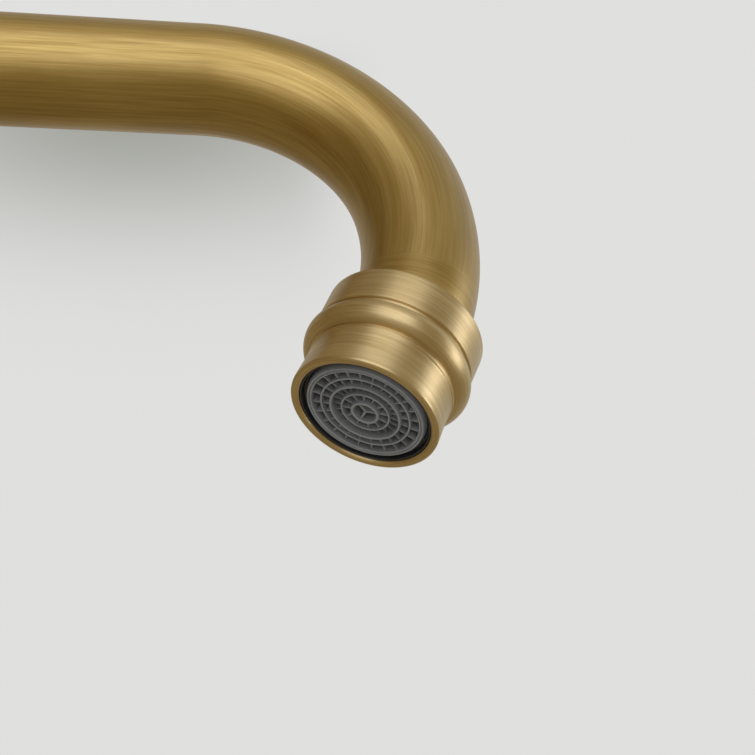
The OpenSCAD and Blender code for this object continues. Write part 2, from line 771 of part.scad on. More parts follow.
module button_cap(side) {
    color("#c9ab6c") at_valve(side) difference() {
        union() {
            translate([0, 0, hub_end - cap_len]) cylinder(h = cap_len, r = cap_r);
            translate([0, 0, hub_end]) cylinder(h = cap_flange_t - edge, r = cap_flange_r);
            translate([0, 0, hub_end + cap_flange_t - edge])
                cylinder(h = edge, r1 = cap_flange_r, r2 = cap_flange_r - edge);
        }
        translate([0, 0, hub_end - cap_len + 1]) cylinder(h = cap_len + cap_flange_t, r = button_r + snug);
    }
}

module button(side) {
    low = hub_end - cap_len + 1;
    flat_h = cap_len - 1 + cap_flange_t;
    dome_r = (button_r * button_r + button_dome * button_dome) / (2 * button_dome);
    color("#f4f1e6") at_valve(side) translate([0, 0, low]) {
        cylinder(h = flat_h, r = button_r);
        intersection() {
            translate([0, 0, flat_h]) cylinder(h = button_dome + cut, r = button_r);
            translate([0, 0, flat_h + button_dome - dome_r]) sphere(r = dome_r);
        }
    }
}

// ---- nodes ----

mixer_body();
base_flange();
base_gasket();
swivel_stop_pin();
slip_rings();
union_nut();
mounting_stud();
clamp_pad();
clamp_plate();
stud_nut();
spout_tube();
spout_foot();
spout_o_rings();
spout_nozzle();
aerator_gasket();
aerator_housing();
aerator_jet_plate();
aerator_screens();
aerator_grid();
seat_seal(-1);  // hot_seat_seal
fixed_disc(-1);  // hot_fixed_disc
moving_disc(-1);  // hot_moving_disc
bonnet(-1);  // hot_bonnet
bonnet_seal(-1);  // hot_bonnet_seal
spindle(-1);  // hot_spindle
spindle_o_rings(-1);  // hot_spindle_o_rings
spindle_clip(-1);  // hot_spindle_clip
shroud(-1);  // hot_shroud
glide_ring(-1);  // hot_glide_ring
handle(-1);  // hot_handle
handle_screw(-1);  // hot_handle_screw
button_cap(-1);  // hot_button_cap
button(-1);  // hot_button
seat_seal(1);  // cold_seat_seal
fixed_disc(1);  // cold_fixed_disc
moving_disc(1);  // cold_moving_disc
bonnet(1);  // cold_bonnet
bonnet_seal(1);  // cold_bonnet_seal
spindle(1);  // cold_spindle
spindle_o_rings(1);  // cold_spindle_o_rings
spindle_clip(1);  // cold_spindle_clip
shroud(1);  // cold_shroud
glide_ring(1);  // cold_glide_ring
handle(1);  // cold_handle
handle_screw(1);  // cold_handle_screw
button_cap(1);  // cold_button_cap
button(1);  // cold_button
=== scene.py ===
"""Looks for the deck-mounted basin mixer: brushed antique brass, a banded nozzle and its aerator.

All sizes are in metres, in the CAD frame: the origin is the middle of the deck face, +Z is up and the
spout points along -Y. The CAD nodes carry the motion; the spout's tube, nozzle and aerator face are
replaced by smoother and more detailed pieces of the same size.
"""

import math

import bmesh
import bpy
from mathutils import Matrix, Vector


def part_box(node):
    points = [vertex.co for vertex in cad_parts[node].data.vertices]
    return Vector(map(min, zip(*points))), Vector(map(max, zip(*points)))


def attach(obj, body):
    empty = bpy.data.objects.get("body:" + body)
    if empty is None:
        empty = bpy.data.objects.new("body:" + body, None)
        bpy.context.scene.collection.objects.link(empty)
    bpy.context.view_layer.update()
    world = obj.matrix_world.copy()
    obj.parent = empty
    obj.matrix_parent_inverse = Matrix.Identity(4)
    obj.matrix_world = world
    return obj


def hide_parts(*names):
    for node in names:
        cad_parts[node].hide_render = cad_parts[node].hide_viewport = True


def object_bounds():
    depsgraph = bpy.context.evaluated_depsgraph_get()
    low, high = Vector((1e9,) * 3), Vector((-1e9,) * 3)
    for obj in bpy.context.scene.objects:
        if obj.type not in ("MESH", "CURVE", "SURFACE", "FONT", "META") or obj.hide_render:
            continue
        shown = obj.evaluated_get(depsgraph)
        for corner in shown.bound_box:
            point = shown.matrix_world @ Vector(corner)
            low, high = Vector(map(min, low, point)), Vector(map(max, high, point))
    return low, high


MM = 0.001

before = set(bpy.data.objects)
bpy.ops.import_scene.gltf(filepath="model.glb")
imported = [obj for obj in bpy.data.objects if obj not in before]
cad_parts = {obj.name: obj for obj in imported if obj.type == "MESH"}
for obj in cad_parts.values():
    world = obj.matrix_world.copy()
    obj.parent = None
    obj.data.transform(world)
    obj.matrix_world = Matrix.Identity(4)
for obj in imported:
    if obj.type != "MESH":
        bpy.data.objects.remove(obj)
CAD_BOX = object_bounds()


# ---------------------------------------------------------------- sizes shared with the CAD

TUBE_R = 11.0 * MM
TUBE_BORE_R = 9.5 * MM
TUBE_FOOT_Z = 93.0 * MM
RISER_LEN = 12.0 * MM
BACK_BEND_R = 40.0 * MM
BACK_BEND_DEG = 65.0
RUN_LEN = 70.0 * MM
FRONT_BEND_R = 40.0 * MM
FRONT_BEND_DEG = 80.0
TAIL_BEND_R = 51.0 * MM
TAIL_BEND_DEG = 35.0
SOCKET_LEN = 7.0 * MM

NOZZLE_LOW, NOZZLE_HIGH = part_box("spout_nozzle")
NOZZLE_TOP = NOZZLE_HIGH.z
RIM_Z = NOZZLE_LOW.z
OUTLET_Y = (NOZZLE_LOW.y + NOZZLE_HIGH.y) / 2
NOZZLE_ORIGIN = (0, OUTLET_Y, NOZZLE_TOP)
VALVE_Z = 50.0 * MM

# How many steps each round piece is turned in, and the angle in degrees from which its edges are sharp.
TUBE_SIDES, TUBE_SHARP = 128, 40
NOZZLE_STEPS, NOZZLE_SHARP = 288, 35
HOUSING_STEPS, HOUSING_SHARP = 192, 40
GRID_RIM_STEPS, GRID_RING_STEPS, GRID_SHARP = 216, 144, 50


# ---------------------------------------------------------------- mesh building


def new_object(name, bm, location=(0, 0, 0)):
    """Turns a bmesh into a smooth-shaded object in the scene."""
    mesh = bpy.data.meshes.new(name)
    bmesh.ops.recalc_face_normals(bm, faces=bm.faces)
    bm.to_mesh(mesh)
    bm.free()
    mesh.polygons.foreach_set("use_smooth", [True] * len(mesh.polygons))
    made = bpy.data.objects.new(name, mesh)
    made.location = location
    bpy.context.scene.collection.objects.link(made)
    return made


def in_mm(corners):
    """Turns rows of millimetres into rows of metres."""
    return [tuple(value * MM for value in corner) for corner in corners]


def fillet(corners, steps=5):
    """Rounds an outline: each corner is (r, z) or (r, z, radius). Returns plain points."""
    longest = 0.49
    points = []
    count = len(corners)
    for i, corner in enumerate(corners):
        here = Vector(corner[:2])
        radius = corner[2] if len(corner) > 2 else 0
        if radius == 0:
            points.append(here)
            continue
        before = Vector(corners[i - 1][:2]) - here
        after = Vector(corners[(i + 1) % count][:2]) - here
        half = before.angle(after) / 2
        reach = min(radius / math.tan(half), before.length * longest, after.length * longest)
        start = here + before.normalized() * reach
        end = here + after.normalized() * reach
        for k in range(steps + 1):
            t = k / steps
            points.append(start * (1 - t) ** 2 + here * 2 * t * (1 - t) + end * t**2)
    return points


def arc(centre_r, centre_z, radius, start_deg, end_deg, steps):
    """Points on a circle in the (r, z) plane; 0 degrees points outwards."""
    points = []
    for k in range(steps + 1):
        a = math.radians(start_deg + (end_deg - start_deg) * k / steps)
        points.append((centre_r + radius * math.cos(a), centre_z + radius * math.sin(a)))
    return points


def turn_outline(bm, outline, steps):
    """Adds the closed solid that a closed (r, z) outline sweeps round the local Z axis."""
    rings = []
    for n in range(steps):
        a = 2 * math.pi * n / steps
        c, s = math.cos(a), math.sin(a)
        rings.append([bm.verts.new((p[0] * c, p[0] * s, p[1])) for p in outline])
    size = len(outline)
    for n in range(steps):
        this, other = rings[n], rings[(n + 1) % steps]
        for k in range(size):
            m = (k + 1) % size
            bm.faces.new((this[k], other[k], other[m], this[m]))


def turned(name, outline, centre, steps):
    """A turned piece on a vertical axis through centre."""
    bm = bmesh.new()
    turn_outline(bm, outline, steps)
    return new_object(name, bm, centre)


# ---------------------------------------------------------------- node graphs


class Graph:
    """A short way to write a node tree."""

    def __init__(self, tree):
        self.tree = tree

    def node(self, kind, **settings):
        made = self.tree.nodes.new(kind)
        for key, value in settings.items():
            setattr(made, key, value)
        return made

    def put(self, socket, value):
        """Links an output or sets a plain value."""
        if isinstance(value, bpy.types.NodeSocket):
            self.tree.links.new(value, socket)
        else:
            socket.default_value = value

    def math(self, operation, a, b=0.0):
        made = self.node("ShaderNodeMath", operation=operation)
        self.put(made.inputs[0], a)
        self.put(made.inputs[1], b)
        return made.outputs[0]

    def vector(self, operation, a, b=(0, 0, 0)):
        made = self.node("ShaderNodeVectorMath", operation=operation)
        self.put(made.inputs[0], a)
        self.put(made.inputs[1], b)
        return made.outputs["Value" if operation in ("DOT_PRODUCT", "LENGTH") else "Vector"]

    def combine(self, x, y, z):
        made = self.node("ShaderNodeCombineXYZ")
        self.put(made.inputs[0], x)
        self.put(made.inputs[1], y)
        self.put(made.inputs[2], z)
        return made.outputs[0]

    def separate(self, value):
        made = self.node("ShaderNodeSeparateXYZ")
        self.put(made.inputs[0], value)
        return made.outputs

    def noise(self, vector, scale, detail=2.0, roughness=0.5):
        made = self.node("ShaderNodeTexNoise")
        self.put(made.inputs["Vector"], vector)
        made.inputs["Scale"].default_value = scale
        made.inputs["Detail"].default_value = detail
        made.inputs["Roughness"].default_value = roughness
        return made.outputs["Fac"]

    def rescale(self, value, low, high, new_low, new_high):
        """Maps low..high to new_low..new_high, clamped."""
        made = self.node("ShaderNodeMapRange")
        self.put(made.inputs["Value"], value)
        made.inputs["From Min"].default_value = low
        made.inputs["From Max"].default_value = high
        made.inputs["To Min"].default_value = new_low
        made.inputs["To Max"].default_value = new_high
        return made.outputs["Result"]

    def smooth_step(self, value, low, high):
        made = self.node("ShaderNodeMapRange", interpolation_type="SMOOTHSTEP")
        self.put(made.inputs["Value"], value)
        made.inputs["From Min"].default_value = low
        made.inputs["From Max"].default_value = high
        return made.outputs["Result"]

    def mix(self, factor, a, b):
        """Mixes two colours."""
        made = self.node("ShaderNodeMix", data_type="RGBA")
        self.put(made.inputs["Factor"], factor)
        self.put(made.inputs[6], a)
        self.put(made.inputs[7], b)
        return made.outputs[2]

    def bump(self, height, strength, distance):
        made = self.node("ShaderNodeBump")
        self.put(made.inputs["Height"], height)
        made.inputs["Strength"].default_value = strength
        made.inputs["Distance"].default_value = distance
        return made.outputs["Normal"]


def colour(r, g, b):
    return (r, g, b, 1.0)


def new_material(name):
    """An empty material with a Principled shader: (material, graph, shader)."""
    material = bpy.data.materials.new(name)
    material.use_nodes = True
    tree = material.node_tree
    tree.nodes.clear()
    graph = Graph(tree)
    output = graph.node("ShaderNodeOutputMaterial")
    shader = graph.node("ShaderNodeBsdfPrincipled")
    tree.links.new(shader.outputs["BSDF"], output.inputs["Surface"])
    return material, graph, shader


# ---------------------------------------------------------------- brass

GOLD = colour(0.69, 0.535, 0.270)
GOLD_DEEP = colour(0.49, 0.350, 0.140)
TUBE_GOLD = colour(0.50, 0.345, 0.100)
TUBE_DEEP = colour(0.33, 0.205, 0.035)
RAW_BRASS = colour(0.78, 0.60, 0.30)

# How far a turned face's rings lean on its radius, so that flat faces are ringed too.
RING_LEAN = 1.31

# Brush patterns: the scale along each of three coordinates, the detail and the roughness.
TURNED_FINE = ((70, 70, 4200), 4.0, 0.65)
TURNED_BROAD = ((40, 40, 900), 2.0, 0.65)
TUBE_FINE = ((55, 2600, 2600), 4.0, 0.65)
TUBE_BROAD = ((22, 420, 420), 2.0, 0.5)
TUBE_END_FINE = ((70, 70, 3600), 4.0, 0.65)
TUBE_END_BROAD = ((40, 40, 800), 2.0, 0.65)

# Blotches of deeper tone: the scale and the detail.
TURNED_BLOTCH = (90, 3)
TUBE_BLOTCH = (60, 4)

# The share of the fine pattern in the tone, and the range of tone that runs from deep to light.
FINE_SHARE = 0.6
TONE_RANGE = (0.38, 0.62)
BLOTCH_RANGE = (0.35, 0.70)
BLOTCH_DEPTH = 0.35
NOISE_RANGE = (0.3, 0.7)
ROUGH_MORE, ROUGH_LESS = 0.06, 0.05
BRUSH_DEPTH = 0.00012

# The lacquer over the brass.
COAT_WEIGHT = 0.6
COAT_IOR = 1.6
COAT_ROUGHNESS = 0.34
HIGHLIGHT_TURN = 0.25


def object_place(graph):
    """The place in the object's own frame."""
    return graph.node("ShaderNodeTexCoord").outputs["Object"]


def distance_from_axis(graph, a, b):
    """The length of a vector with the parts a and b."""
    square = graph.math("ADD", graph.math("MULTIPLY", a, a), graph.math("MULTIPLY", b, b))
    return graph.math("SQRT", square)


def lathe_coordinates(graph, axis, centre):
    """Coordinates that vary fast across a lathe's tool marks and slowly along them.

    axis is "Z" or "X", and centre is a point on it in the object's own frame.
    """
    local = graph.separate(graph.vector("SUBTRACT", object_place(graph), centre))
    if axis == "Z":
        a, b, along = local[0], local[1], local[2]
    else:
        a, b, along = local[1], local[2], local[0]
    radius = distance_from_axis(graph, a, b)
    across = graph.math("ADD", along, graph.math("MULTIPLY", radius, RING_LEAN))
    return a, b, across


def brush_noise(graph, parts, pattern):
    """Long fine streaks: a noise scaled differently along each coordinate."""
    scales, detail, roughness = pattern
    scaled = [graph.math("MULTIPLY", part, scale) for part, scale in zip(parts, scales)]
    return graph.noise(graph.combine(*scaled), 1.0, detail, roughness)


def blend(graph, change, before, after):
    """Passes from one value to another as change goes from 0 to 1."""
    kept = graph.math("MULTIPLY", before, graph.math("SUBTRACT", 1.0, change))
    return graph.math("ADD", kept, graph.math("MULTIPLY", after, change))


def finish_brass(graph, shader, tones, streaks, blotch, rough, anisotropy, tangent, grain):
    """Colour, roughness and relief of brushed brass. tones and streaks are light, deep and fine, broad."""
    light, deep = tones
    fine, broad = streaks
    fine_part = graph.math("MULTIPLY", fine, FINE_SHARE)
    tone = graph.math("ADD", fine_part, graph.math("MULTIPLY", broad, 1.0 - FINE_SHARE))
    shade = graph.rescale(tone, *TONE_RANGE, 0.0, 1.0)
    worn = graph.rescale(blotch, *BLOTCH_RANGE, 0.0, BLOTCH_DEPTH)
    mixed = graph.mix(shade, deep, light)
    roughness = graph.rescale(fine, *NOISE_RANGE, rough + ROUGH_MORE, rough - ROUGH_LESS)
    graph.put(shader.inputs["Base Color"], graph.mix(worn, mixed, deep))
    graph.put(shader.inputs["Roughness"], roughness)
    graph.put(shader.inputs["Normal"], graph.bump(fine, grain, BRUSH_DEPTH))
    shader.inputs["Metallic"].default_value = 1.0
    shader.inputs["Coat Weight"].default_value = COAT_WEIGHT
    shader.inputs["Coat IOR"].default_value = COAT_IOR
    shader.inputs["Coat Roughness"].default_value = COAT_ROUGHNESS
    shader.inputs["Anisotropic"].default_value = anisotropy
    shader.inputs["Anisotropic Rotation"].default_value = HIGHLIGHT_TURN
    graph.put(shader.inputs["Tangent"], tangent)


def turned_brass(name, axis, centre, light=GOLD, deep=GOLD_DEEP, rough=0.44, anisotropy=0.6, grain=0.22):
    """Brass brushed round a turned piece's own axis."""
    material, graph, shader = new_material(name)
    parts = lathe_coordinates(graph, axis, centre)
    streaks = (brush_noise(graph, parts, TURNED_FINE), brush_noise(graph, parts, TURNED_BROAD))
    blotch = graph.noise(object_place(graph), *TURNED_BLOTCH)
    tangent = graph.node("ShaderNodeTangent", direction_type="RADIAL", axis=axis).outputs[0]
    finish_brass(graph, shader, (light, deep), streaks, blotch, rough, anisotropy, tangent, grain)
    return material


def tube_brass(rough=0.40, anisotropy=0.5, grain=0.14):
    """Brass brushed along the tube, with a band brushed round it just above the nozzle."""
    material, graph, shader = new_material("tube_brass")
    run = graph.node("ShaderNodeAttribute", attribute_name="brushing").outputs["Vector"]
    along, a, b = graph.separate(run)
    change = graph.smooth_step(along, BRUSH_CHANGE - CHANGE_BEFORE, BRUSH_CHANGE + CHANGE_AFTER)
    lengthwise, around = (along, a, b), (a, b, along)
    streaks = [
        blend(graph, change, brush_noise(graph, lengthwise, before), brush_noise(graph, around, after))
        for before, after in ((TUBE_FINE, TUBE_END_FINE), (TUBE_BROAD, TUBE_END_BROAD))
    ]
    blotch = graph.noise(object_place(graph), *TUBE_BLOTCH)
    tangent = graph.node("ShaderNodeTangent", direction_type="UV_MAP", uv_map="run").outputs[0]
    finish_brass(graph, shader, (TUBE_GOLD, TUBE_DEEP), streaks, blotch, rough, anisotropy, tangent, grain)
    return material


# ---------------------------------------------------------------- other materials

# Plain materials: how much finer and coarser than a material's own scale its two mottles are, the
# range of the broad one that passes between the two tones, and the change of roughness and the relief.
FINE_MOTTLE = 6
BROAD_MOTTLE = 0.5
MOTTLE_RANGE = (0.35, 0.65)
SMOOTHER, ROUGHER = 0.05, 0.07
MOTTLE_DEPTH = 0.05 * MM

# The porcelain's coloured ring: its radius, the edges of its line, and how far it wavers.
ENAMEL_R = 3.25 * MM
ENAMEL_EDGES = (0.55 * MM, 0.45 * MM)
ENAMEL_WOBBLE = 0.1 * MM

# The porcelain's glaze: its two tones, its smoothest and roughest, and its relief.
GLAZE = colour(0.86, 0.84, 0.78)
GLAZE_DEEP = colour(0.80, 0.78, 0.71)
GLAZE_ROUGHNESS = (0.10, 0.17)
GLAZE_DEPTH = 0.08 * MM


def plain_material(name, base, other, rough, metallic=0.0, scale=400.0, grain=0.08):
    """A moulded, rubber, ceramic or plated surface with a fine mottle and relief."""
    material, graph, shader = new_material(name)
    place = object_place(graph)
    fine = graph.noise(place, scale * FINE_MOTTLE, 3)
    broad = graph.noise(place, scale * BROAD_MOTTLE, 3)
    mottle = graph.rescale(broad, *MOTTLE_RANGE, 0, 1)
    roughness = graph.rescale(fine, *NOISE_RANGE, rough - SMOOTHER, rough + ROUGHER)
    graph.put(shader.inputs["Base Color"], graph.mix(mottle, base, other))
    graph.put(shader.inputs["Roughness"], roughness)
    graph.put(shader.inputs["Normal"], graph.bump(fine, grain, MOTTLE_DEPTH))
    shader.inputs["Metallic"].default_value = metallic
    shader.inputs["Specular IOR Level"].default_value = 0.5
    return material


def porcelain(name, mark):
    """Glazed porcelain with a small coloured enamel ring, red for hot and blue for cold."""
    material, graph, shader = new_material(name)
    place = object_place(graph)
    local = graph.separate(graph.vector("SUBTRACT", place, (0, 0, VALVE_Z)))
    radius = distance_from_axis(graph, local[1], local[2])
    wobble = graph.math("MULTIPLY", graph.noise(place, 900, 2), ENAMEL_WOBBLE)
    off = graph.math("ABSOLUTE", graph.math("SUBTRACT", graph.math("ADD", radius, wobble), ENAMEL_R))
    ring = graph.smooth_step(off, *ENAMEL_EDGES)
    cloud = graph.noise(place, 260, 3)
    glaze = graph.mix(cloud, GLAZE, GLAZE_DEEP)
    graph.put(shader.inputs["Base Color"], graph.mix(ring, glaze, mark))
    graph.put(shader.inputs["Roughness"], graph.rescale(cloud, *NOISE_RANGE, *GLAZE_ROUGHNESS))
    graph.put(shader.inputs["Normal"], graph.bump(cloud, 0.04, GLAZE_DEPTH))
    shader.inputs["Coat Weight"].default_value = 0.6
    shader.inputs["Coat Roughness"].default_value = 0.04
    return material


# ---------------------------------------------------------------- spout tube


def tube_stations():
    """Stations along the tube's centreline: (y, z, angle from upright in radians, length so far)."""
    stations = [(0.0, TUBE_FOOT_Z, 0.0, 0.0)]

    def straight(length, steps):
        y, z, a, s = stations[-1]
        for k in range(1, steps + 1):
            d = length * k / steps
            stations.append((y - d * math.sin(a), z + d * math.cos(a), a, s + d))

    def bend(radius, degrees, steps):
        y, z, a0, s = stations[-1]
        for k in range(1, steps + 1):
            a = a0 + math.radians(degrees) * k / steps
            turned_y = y + radius * (math.cos(a) - math.cos(a0))
            turned_z = z + radius * (math.sin(a) - math.sin(a0))
            stations.append((turned_y, turned_z, a, s + radius * (a - a0)))

    straight(RISER_LEN, 5)
    bend(BACK_BEND_R, BACK_BEND_DEG, 36)
    straight(RUN_LEN, 20)
    bend(FRONT_BEND_R, FRONT_BEND_DEG, 56)
    bend(TAIL_BEND_R, TAIL_BEND_DEG, 28)
    straight(SOCKET_LEN, 4)
    return stations


TUBE_LEN = tube_stations()[-1][3]
END_BAND = 8.5 * MM
BRUSH_CHANGE = TUBE_LEN - SOCKET_LEN - END_BAND
CHANGE_BEFORE, CHANGE_AFTER = 1.2 * MM, 0.4 * MM


def spout_tube(material):
    """The bent tube, with its bore, as one closed smooth skin."""
    sides = TUBE_SIDES
    stations = tube_stations()
    bm = bmesh.new()
    brushing = bm.verts.layers.float_vector.new("brushing")
    uv = bm.loops.layers.uv.new("run")
    skins = []
    for r in (TUBE_R, TUBE_BORE_R):
        rings = []
        for y, z, a, s in stations:
            ring = []
            for n in range(sides):
                t = 2 * math.pi * n / sides
                side, up = r * math.cos(t), r * math.sin(t)
                vert = bm.verts.new((side, y + up * math.cos(a), z + up * math.sin(a)))
                vert[brushing] = (s, side, up)
                ring.append(vert)
            rings.append(ring)
        skins.append(rings)

    def quad(verts, s_pair, n):
        face = bm.faces.new(verts)
        u0, u1 = s_pair
        v0, v1 = n / sides, (n + 1) / sides
        for loop, place in zip(face.loops, ((u0, v0), (u1, v0), (u1, v1), (u0, v1))):
            loop[uv].uv = place

    for rings in skins:
        for i in range(len(rings) - 1):
            pair = (stations[i][3] / TUBE_LEN, stations[i + 1][3] / TUBE_LEN)
            for n in range(sides):
                m = (n + 1) % sides
                quad((rings[i][n], rings[i + 1][n], rings[i + 1][m], rings[i][m]), pair, n)
    outer, inner = skins
    for i in (0, len(stations) - 1):
        for n in range(sides):
            m = (n + 1) % sides
            bm.faces.new((outer[i][n], outer[i][m], inner[i][m], inner[i][n]))
    made = new_object("spout_tube_brushed", bm)
    made.data.set_sharp_from_angle(angle=math.radians(TUBE_SHARP))
    made.data.materials.append(material)
    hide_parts("spout_tube")
    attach(made, "spout")


# ---------------------------------------------------------------- nozzle


def nozzle_outline():
    """The collar's section: an upper band, a rounded bead and a lower band. Its top face is at 0."""
    band_r, band_h = 14.65, 7.0
    foot_r, bead_mid, bead_half, crown = 13.5, 9.75, 2.5, 15.4
    bead_r = (bead_half**2 + (crown - foot_r) ** 2) / (2 * (crown - foot_r))
    swing = math.degrees(math.asin(bead_half / bead_r))
    groove_share = 0.86
    upper = fillet(in_mm([
        (11.06, 0.0, 0.15),
        (band_r, 0.0, 0.45),
        (band_r, -band_h + 0.12, 0.16),
        (14.22, -band_h - 0.08, 0.05),
    ]))
    centre_r, centre_z, radius = (crown - bead_r) * MM, -bead_mid * MM, bead_r * MM
    bead = arc(centre_r, centre_z, radius, swing * groove_share, -swing, 22)
    lower = in_mm([
        (13.2, -12.32, 0.08),
        (13.2, -12.62, 0.06),
        (13.46, -12.82, 0.14),
        (13.46, -13.36, 0.14),
        (13.24, -13.62, 0.25),
        (13.3, -16.5, 3.0),
        (13.5, -20.6, 0.3),
        (13.44, -20.98, 0.2),
        (13.05, -21.2, 0.25),
        (12.35, -21.2, 0.3),
        (12.0, -20.9, 0.2),
        (11.95, -9.0, 0.1),
        (9.5, -9.0, 0.1),
        (9.5, -7.0, 0.1),
        (11.06, -7.0, 0.1),
    ])
    rounded = fillet([tuple(upper[-1]), bead[0], bead[-1]] + lower + [tuple(upper[0])])
    tail = rounded[3:-1]
    return [tuple(p) for p in upper] + bead + [tuple(p) for p in tail]


def spout_nozzle(material):
    """The turned collar on the tube's end."""
    made = turned("spout_nozzle_turned", nozzle_outline(), NOZZLE_ORIGIN, NOZZLE_STEPS)
    made.data.set_sharp_from_angle(angle=math.radians(NOZZLE_SHARP))
    made.data.materials.append(material)
    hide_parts("spout_nozzle")
    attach(made, "spout")


# ---------------------------------------------------------------- aerator


def aerator_housing(material):
    """The black threaded ring round the grid, set deeper than the grid's face."""
    outline = fillet(in_mm([
        (9.6, -10.6),
        (11.88, -10.6, 0.2),
        (11.9, -20.75, 0.1),
        (11.62, -20.75, 0.1),
        (11.5, -19.6, 0.3),
        (11.02, -19.5, 0.15),
        (11.0, -11.7),
        (9.6, -11.7),
    ]))
    made = turned("aerator_housing_ring", outline, NOZZLE_ORIGIN, HOUSING_STEPS)
    made.data.set_sharp_from_angle(angle=math.radians(HOUSING_SHARP))
    made.data.materials.append(material)
    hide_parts("aerator_housing")
    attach(made, "spout")


def add_rib(bm, angle, inner_r, outer_r, width, top, bottom):
    """A radial rib with a rounded top edge, which faces down the outlet."""
    half = width / 2
    shoulder, crest, crest_half = top + half * 0.8, top + half * 0.2, half * 0.55
    section = [
        (-half, bottom), (half, bottom), (half, shoulder), (crest_half, crest),
        (0.0, top), (-crest_half, crest), (-half, shoulder),
    ]
    c, s = math.cos(angle), math.sin(angle)
    ends = []
    for r in (inner_r, outer_r):
        ends.append([bm.verts.new((r * c - w * s, r * s + w * c, z)) for w, z in section])
    size = len(section)
    for k in range(size):
        m = (k + 1) % size
        bm.faces.new((ends[0][k], ends[0][m], ends[1][m], ends[1][k]))
    bm.faces.new(ends[0])
    bm.faces.new(list(reversed(ends[1])))


def grid_ring(bm, mid_r, wall, top, bottom):
    """One ring wall with a rounded top edge."""
    half = wall / 2
    top_half, rounding = half * 0.85, half * 0.8
    corners = [
        (mid_r - half, bottom),
        (mid_r - top_half, top, rounding),
        (mid_r + top_half, top, rounding),
        (mid_r + half, bottom),
    ]
    turn_outline(bm, fillet(corners, 4), GRID_RING_STEPS)


# The grid's back, its rings (middle radius, wall, face) and its ribs (count, share of a step turned,
# inner and outer radius, face), in millimetres with z down from the nozzle's top.
GRID_BACK = -17.7
GRID_RIM = (
    (9.72, GRID_BACK), (9.72, -20.65, 0.12), (9.92, -20.9, 0.10), (10.08, -20.75, 0.06),
    (10.16, -20.56, 0.05), (10.24, -20.75, 0.06), (10.38, -20.9, 0.10), (10.62, -20.72, 0.15),
    (10.92, -19.7, 0.15), (10.92, GRID_BACK),
)
GRID_RINGS = ((2.3, 0.62, -20.9), (4.3, 0.42, -20.65), (6.28, 0.52, -20.9), (8.05, 0.42, -20.65))
GRID_RIBS = (
    (12, 0.5, 2.5, 4.2, -20.3),
    (24, 0.0, 4.4, 6.1, -19.75),
    (24, 0.0, 6.4, 7.95, -20.25),
    (24, 0.0, 8.15, 9.8, -20.35),
)
RIB_WIDTH = 0.26
SPOKES = 3
SPOKE_LEN, SPOKE_WIDTH, SPOKE_FACE = 2.1, 0.45, -20.45
HUB_TURN_DEG = 12.0


def aerator_grid(material):
    """The outlet grid: a double-lipped rim, four rings, their ribs and a three-spoked hub."""
    bottom = GRID_BACK * MM
    bm = bmesh.new()
    turn_outline(bm, fillet(in_mm(GRID_RIM), 4), GRID_RIM_STEPS)
    for mid_r, wall, top in GRID_RINGS:
        grid_ring(bm, mid_r * MM, wall * MM, top * MM, bottom)
    for count, share, inner_r, outer_r, top in GRID_RIBS:
        for n in range(count):
            angle = 2 * math.pi * (n + share) / count
            add_rib(bm, angle, inner_r * MM, outer_r * MM, RIB_WIDTH * MM, top * MM, bottom)
    for n in range(SPOKES):
        angle = 2 * math.pi * n / SPOKES + math.radians(HUB_TURN_DEG)
        add_rib(bm, angle, 0.0, SPOKE_LEN * MM, SPOKE_WIDTH * MM, SPOKE_FACE * MM, bottom)
    made = new_object("aerator_grid_moulded", bm, NOZZLE_ORIGIN)
    made.data.set_sharp_from_angle(angle=math.radians(GRID_SHARP))
    made.data.materials.append(material)
    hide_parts("aerator_grid")
    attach(made, "spout")


SCREEN_R = 10.9 * MM
SCREEN_LEVELS = (-14.15 * MM, -14.85 * MM)
SCREEN_PITCH = 0.62 * MM
WIRE_R = 0.11 * MM
WIRE_SIDES = 5


def woven_screen(bm, radius, level, pitch, wire_r):
    """Adds a round of woven wire cloth: each wire is a five-sided tube that waves over and under."""
    count = int(radius / pitch)
    sides = WIRE_SIDES
    for direction in (0, 1):
        for n in range(-count, count + 1):
            offset = n * pitch
            half = math.sqrt(max(radius**2 - offset**2, 0)) - wire_r
            if half < pitch:
                continue
            steps = max(4, int(2 * half / (pitch * 0.5)))
            rings = []
            for k in range(steps + 1):
                u = -half + 2 * half * k / steps
                phase = math.pi * (u / pitch + n + direction)
                lift = level + wire_r * math.cos(phase)
                ring = []
                for m in range(sides):
                    t = 2 * math.pi * m / sides
                    v, z = offset + wire_r * math.cos(t), lift + wire_r * math.sin(t)
                    ring.append(bm.verts.new((u, v, z) if direction == 0 else (v, u, z)))
                rings.append(ring)
            for k in range(steps):
                for m in range(sides):
                    j = (m + 1) % sides
                    bm.faces.new((rings[k][m], rings[k][j], rings[k + 1][j], rings[k + 1][m]))
            bm.faces.new(rings[0])
            bm.faces.new(list(reversed(rings[-1])))


def aerator_screens(material):
    """Two rounds of fine stainless wire cloth behind the grid."""
    bm = bmesh.new()
    for level in SCREEN_LEVELS:
        woven_screen(bm, SCREEN_R, level, SCREEN_PITCH, WIRE_R)
    made = new_object("aerator_screens_woven", bm, NOZZLE_ORIGIN)
    made.data.materials.append(material)
    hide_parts("aerator_screens")
    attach(made, "spout")


# ---------------------------------------------------------------- CAD nodes' materials


def side_axis(node):
    """The turning axis of a CAD node: X for the valve pieces and Z for the rest."""
    return "X" if node.startswith(("hot_", "cold_")) else "Z"


